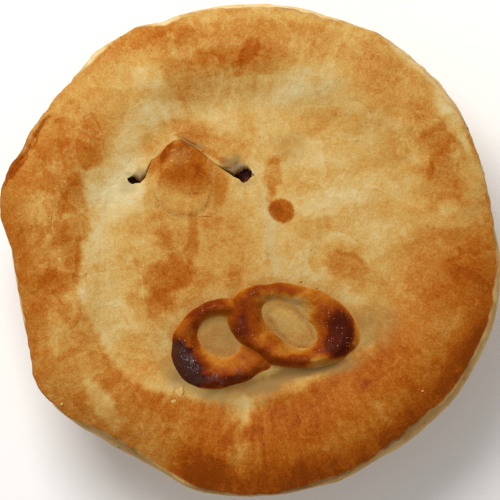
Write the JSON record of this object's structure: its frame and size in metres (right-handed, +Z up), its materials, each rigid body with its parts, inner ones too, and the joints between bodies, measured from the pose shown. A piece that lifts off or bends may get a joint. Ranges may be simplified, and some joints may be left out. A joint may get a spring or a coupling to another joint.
{
  "type": "steak pie",
  "caption": "Round single-serving steak pie: tapered shortcrust case, steak filling, puff pastry lid with a raised browned border, a snipped steam vent and overlapping pastry rings.",
  "frame": {"origin": "on the resting plane, under the middle of the pie's outline", "axes": "+Z up through the lid, +Y from the pastry rings towards the steam vent, +X to the right seen from above"},
  "size_m": [0.1205, 0.1194, 0.0417],
  "materials": {
    "shortcrust": "baked shortcrust, pale golden and matt",
    "steak_gravy": "dark glossy gravy with steak",
    "puff_pastry": "egg-washed puff pastry, cream to brown, satin",
    "ring_pastry": "egg-washed pastry strip, dark brown to burnt, glossy"
  },
  "bodies": {
    "root": {"case": "shortcrust", "filling": "steak_gravy", "lid": "puff_pastry", "ring_under": "ring_pastry", "ring_over": "ring_pastry"}
  },
  "joints": []
}
